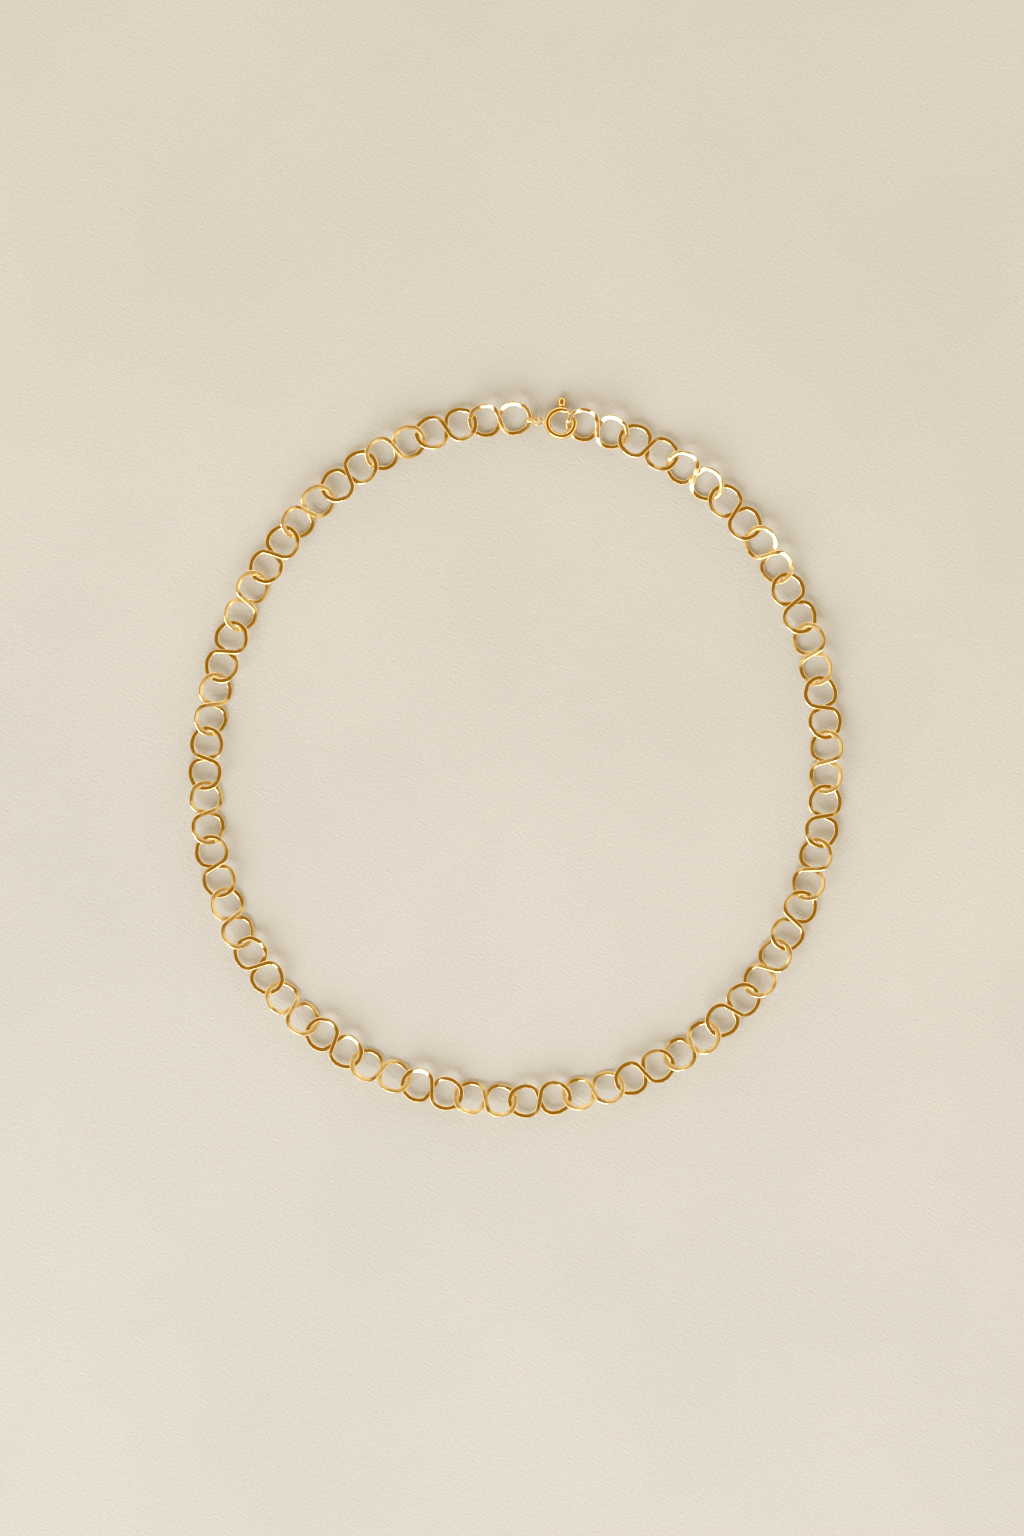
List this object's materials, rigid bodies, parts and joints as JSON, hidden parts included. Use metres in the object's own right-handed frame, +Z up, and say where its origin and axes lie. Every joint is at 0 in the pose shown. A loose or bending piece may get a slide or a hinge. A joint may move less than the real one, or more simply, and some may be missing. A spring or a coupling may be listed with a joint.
{
  "type": "chain necklace",
  "caption": "Chain necklace of flattened figure-eight links, closed at the back by a spring bolt ring with a sliding bolt, tail eye and jump ring.",
  "frame": {"origin": "centre of the necklace as it lies, on the surface under it", "axes": "+Y to the back of the neck, where the clasp is; +Z up, away from the surface; X across, along the line that the folds turn about"},
  "size_m": [0.143, 0.157, 0.0034],
  "materials": {
    "link_gold": "polished yellow gold, lightly hammered",
    "clasp_gold": "polished yellow gold",
    "spring_steel": "bright spring wire"
  },
  "bodies": {
    "left_link_18": {"left_link_18": "link_gold"},
    "left_link_17": {"left_link_17": "link_gold"},
    "left_link_16": {"left_link_16": "link_gold"},
    "left_link_15": {"left_link_15": "link_gold"},
    "left_link_14": {"left_link_14": "link_gold"},
    "left_link_13": {"left_link_13": "link_gold"},
    "left_link_12": {"left_link_12": "link_gold"},
    "left_link_11": {"left_link_11": "link_gold"},
    "left_link_10": {"left_link_10": "link_gold"},
    "left_link_09": {"left_link_09": "link_gold"},
    "left_link_08": {"left_link_08": "link_gold"},
    "left_link_07": {"left_link_07": "link_gold"},
    "left_link_06": {"left_link_06": "link_gold"},
    "left_link_05": {"left_link_05": "link_gold"},
    "left_link_04": {"left_link_04": "link_gold"},
    "left_link_03": {"left_link_03": "link_gold"},
    "left_link_02": {"left_link_02": "link_gold"},
    "left_link_01": {"left_link_01": "link_gold"},
    "front_link": {"front_link": "link_gold"},
    "right_link_01": {"right_link_01": "link_gold"},
    "right_link_02": {"right_link_02": "link_gold"},
    "right_link_03": {"right_link_03": "link_gold"},
    "right_link_04": {"right_link_04": "link_gold"},
    "right_link_05": {"right_link_05": "link_gold"},
    "right_link_06": {"right_link_06": "link_gold"},
    "right_link_07": {"right_link_07": "link_gold"},
    "right_link_08": {"right_link_08": "link_gold"},
    "right_link_09": {"right_link_09": "link_gold"},
    "right_link_10": {"right_link_10": "link_gold"},
    "right_link_11": {"right_link_11": "link_gold"},
    "right_link_12": {"right_link_12": "link_gold"},
    "right_link_13": {"right_link_13": "link_gold"},
    "right_link_14": {"right_link_14": "link_gold"},
    "right_link_15": {"right_link_15": "link_gold"},
    "right_link_16": {"right_link_16": "link_gold"},
    "right_link_17": {"right_link_17": "link_gold"},
    "right_link_18": {"right_link_18": "link_gold"},
    "jump_ring": {"jump_ring": "link_gold"},
    "clasp": {"clasp_body": "clasp_gold", "clasp_tail_eye": "clasp_gold", "clasp_spring": "spring_steel"},
    "bolt": {"clasp_bolt": "clasp_gold", "clasp_knob": "clasp_gold"}
  },
  "joints": [
    {"name": "fold_right_01", "type": "hinge", "parent": "front_link", "child": "right_link_01", "pos_m": [0.00594, -0.07487, 0.00168], "axis": [1, 0, 0], "range_deg": [-6, 60]},
    {"name": "fold_left_01", "type": "hinge", "parent": "front_link", "child": "left_link_01", "pos_m": [-0.00594, -0.07487, 0.00168], "axis": [1, 0, 0], "range_deg": [-6, 60]},
    {"name": "fold_right_02", "type": "hinge", "parent": "right_link_01", "child": "right_link_02", "pos_m": [0.01761, -0.07273, 0.00168], "axis": [-1, 0, 0], "range_deg": [-12, 60]},
    {"name": "fold_left_02", "type": "hinge", "parent": "left_link_01", "child": "left_link_02", "pos_m": [-0.01761, -0.07273, 0.00168], "axis": [-1, 0, 0], "range_deg": [-12, 60]},
    {"name": "fold_right_03", "type": "hinge", "parent": "right_link_02", "child": "right_link_03", "pos_m": [0.02882, -0.06883, 0.00168], "axis": [1, 0, 0], "range_deg": [-4, 60]},
    {"name": "fold_left_03", "type": "hinge", "parent": "left_link_02", "child": "left_link_03", "pos_m": [-0.02882, -0.06883, 0.00168], "axis": [1, 0, 0], "range_deg": [-4, 60]},
    {"name": "fold_right_04", "type": "hinge", "parent": "right_link_03", "child": "right_link_04", "pos_m": [0.03907, -0.06283, 0.00168], "axis": [-1, 0, 0], "range_deg": [-8, 60]},
    {"name": "fold_left_04", "type": "hinge", "parent": "left_link_03", "child": "left_link_04", "pos_m": [-0.03907, -0.06283, 0.00168], "axis": [-1, 0, 0], "range_deg": [-8, 60]},
    {"name": "fold_right_05", "type": "hinge", "parent": "right_link_04", "child": "right_link_05", "pos_m": [0.04808, -0.05513, 0.00168], "axis": [1, 0, 0], "range_deg": [-10, 60]},
    {"name": "fold_left_05", "type": "hinge", "parent": "left_link_04", "child": "left_link_05", "pos_m": [-0.04808, -0.05513, 0.00168], "axis": [1, 0, 0], "range_deg": [-10, 60]},
    {"name": "fold_right_06", "type": "hinge", "parent": "right_link_05", "child": "right_link_06", "pos_m": [0.05562, -0.04597, 0.00168], "axis": [-1, 0, 0], "range_deg": [-8, 60]},
    {"name": "fold_left_06", "type": "hinge", "parent": "left_link_05", "child": "left_link_06", "pos_m": [-0.05562, -0.04597, 0.00168], "axis": [-1, 0, 0], "range_deg": [-8, 60]},
    {"name": "fold_right_07", "type": "hinge", "parent": "right_link_06", "child": "right_link_07", "pos_m": [0.06122, -0.03549, 0.00168], "axis": [1, 0, 0], "range_deg": [-24, 60]},
    {"name": "fold_left_07", "type": "hinge", "parent": "left_link_06", "child": "left_link_07", "pos_m": [-0.06122, -0.03549, 0.00168], "axis": [1, 0, 0], "range_deg": [-24, 60]},
    {"name": "fold_right_08", "type": "hinge", "parent": "right_link_07", "child": "right_link_08", "pos_m": [0.0652, -0.02432, 0.00168], "axis": [-1, 0, 0], "range_deg": [-36, 60]},
    {"name": "fold_left_08", "type": "hinge", "parent": "left_link_07", "child": "left_link_08", "pos_m": [-0.0652, -0.02432, 0.00168], "axis": [-1, 0, 0], "range_deg": [-36, 60]},
    {"name": "fold_right_09", "type": "hinge", "parent": "right_link_08", "child": "right_link_09", "pos_m": [0.06724, -0.01261, 0.00168], "axis": [1, 0, 0], "range_deg": [-40, 60]},
    {"name": "fold_left_09", "type": "hinge", "parent": "left_link_08", "child": "left_link_09", "pos_m": [-0.06724, -0.01261, 0.00168], "axis": [1, 0, 0], "range_deg": [-40, 60]},
    {"name": "fold_right_10", "type": "hinge", "parent": "right_link_09", "child": "right_link_10", "pos_m": [0.06762, -0.00075, 0.00168], "axis": [1, 0, 0], "range_deg": [-40, 60]},
    {"name": "fold_left_10", "type": "hinge", "parent": "left_link_09", "child": "left_link_10", "pos_m": [-0.06762, -0.00075, 0.00168], "axis": [1, 0, 0], "range_deg": [-40, 60]},
    {"name": "fold_right_11", "type": "hinge", "parent": "right_link_10", "child": "right_link_11", "pos_m": [0.0666, 0.01109, 0.00168], "axis": [-1, 0, 0], "range_deg": [-40, 60]},
    {"name": "fold_left_11", "type": "hinge", "parent": "left_link_10", "child": "left_link_11", "pos_m": [-0.0666, 0.01109, 0.00168], "axis": [-1, 0, 0], "range_deg": [-40, 60]},
    {"name": "fold_right_12", "type": "hinge", "parent": "right_link_11", "child": "right_link_12", "pos_m": [0.06384, 0.02264, 0.00168], "axis": [1, 0, 0], "range_deg": [-34, 60]},
    {"name": "fold_left_12", "type": "hinge", "parent": "left_link_11", "child": "left_link_12", "pos_m": [-0.06384, 0.02264, 0.00168], "axis": [1, 0, 0], "range_deg": [-34, 60]},
    {"name": "fold_right_13", "type": "hinge", "parent": "right_link_12", "child": "right_link_13", "pos_m": [0.05977, 0.0338, 0.00168], "axis": [-1, 0, 0], "range_deg": [-16, 60]},
    {"name": "fold_left_13", "type": "hinge", "parent": "left_link_12", "child": "left_link_13", "pos_m": [-0.05977, 0.0338, 0.00168], "axis": [-1, 0, 0], "range_deg": [-16, 60]},
    {"name": "fold_right_14", "type": "hinge", "parent": "right_link_13", "child": "right_link_14", "pos_m": [0.05397, 0.04417, 0.00168], "axis": [1, 0, 0], "range_deg": [-10, 60]},
    {"name": "fold_left_14", "type": "hinge", "parent": "left_link_13", "child": "left_link_14", "pos_m": [-0.05397, 0.04417, 0.00168], "axis": [1, 0, 0], "range_deg": [-10, 60]},
    {"name": "fold_right_15", "type": "hinge", "parent": "right_link_14", "child": "right_link_15", "pos_m": [0.04658, 0.05344, 0.00168], "axis": [-1, 0, 0], "range_deg": [-14, 60]},
    {"name": "fold_left_15", "type": "hinge", "parent": "left_link_14", "child": "left_link_15", "pos_m": [-0.04658, 0.05344, 0.00168], "axis": [-1, 0, 0], "range_deg": [-14, 60]},
    {"name": "fold_right_16", "type": "hinge", "parent": "right_link_15", "child": "right_link_16", "pos_m": [0.03779, 0.06144, 0.00168], "axis": [1, 0, 0], "range_deg": [-4, 60]},
    {"name": "fold_left_16", "type": "hinge", "parent": "left_link_15", "child": "left_link_16", "pos_m": [-0.03779, 0.06144, 0.00168], "axis": [1, 0, 0], "range_deg": [-4, 60]},
    {"name": "fold_right_17", "type": "hinge", "parent": "right_link_16", "child": "right_link_17", "pos_m": [0.0276, 0.0675, 0.00168], "axis": [-1, 0, 0], "range_deg": [-12, 60]},
    {"name": "fold_left_17", "type": "hinge", "parent": "left_link_16", "child": "left_link_17", "pos_m": [-0.0276, 0.0675, 0.00168], "axis": [-1, 0, 0], "range_deg": [-12, 60]},
    {"name": "fold_right_18", "type": "hinge", "parent": "right_link_17", "child": "right_link_18", "pos_m": [0.01654, 0.07177, 0.00168], "axis": [1, 0, 0], "range_deg": [-6, 60]},
    {"name": "fold_left_18", "type": "hinge", "parent": "left_link_17", "child": "left_link_18", "pos_m": [-0.01654, 0.07177, 0.00168], "axis": [1, 0, 0], "range_deg": [-6, 60]},
    {"name": "jump_ring_roll", "type": "hinge", "parent": "left_link_18", "child": "jump_ring", "pos_m": [-0.00499, 0.07343, 0.00168], "axis": [-1, 0, 0], "range_deg": [-1, 20]},
    {"name": "clasp_roll", "type": "hinge", "parent": "jump_ring", "child": "clasp", "pos_m": [-0.00291, 0.07343, 0.00168], "axis": [-1, 0, 0], "range_deg": [-1, 15]},
    {"name": "bolt_slide", "type": "hinge", "parent": "clasp", "child": "bolt", "pos_m": [0.00266, 0.07343, 0.00168], "axis": [0, 0.1736, 0.9848], "range_deg": [0, 56], "stiffness_Nm_per_rad": 0.004, "springref_deg": -34.38, "deforming": ["clasp_spring"]}
  ],
  "couplings": [
    {"joint": "fold_left_01", "follows": "fold_right_01", "ratio": 1},
    {"joint": "fold_left_02", "follows": "fold_right_02", "ratio": 1},
    {"joint": "fold_left_03", "follows": "fold_right_03", "ratio": 1},
    {"joint": "fold_left_04", "follows": "fold_right_04", "ratio": 1},
    {"joint": "fold_left_05", "follows": "fold_right_05", "ratio": 1},
    {"joint": "fold_left_06", "follows": "fold_right_06", "ratio": 1},
    {"joint": "fold_left_07", "follows": "fold_right_07", "ratio": 1},
    {"joint": "fold_left_08", "follows": "fold_right_08", "ratio": 1},
    {"joint": "fold_left_09", "follows": "fold_right_09", "ratio": 1},
    {"joint": "fold_left_10", "follows": "fold_right_10", "ratio": 1},
    {"joint": "fold_left_11", "follows": "fold_right_11", "ratio": 1},
    {"joint": "fold_left_12", "follows": "fold_right_12", "ratio": 1},
    {"joint": "fold_left_13", "follows": "fold_right_13", "ratio": 1},
    {"joint": "fold_left_14", "follows": "fold_right_14", "ratio": 1},
    {"joint": "fold_left_15", "follows": "fold_right_15", "ratio": 1},
    {"joint": "fold_left_16", "follows": "fold_right_16", "ratio": 1},
    {"joint": "fold_left_17", "follows": "fold_right_17", "ratio": 1},
    {"joint": "fold_left_18", "follows": "fold_right_18", "ratio": 1}
  ]
}
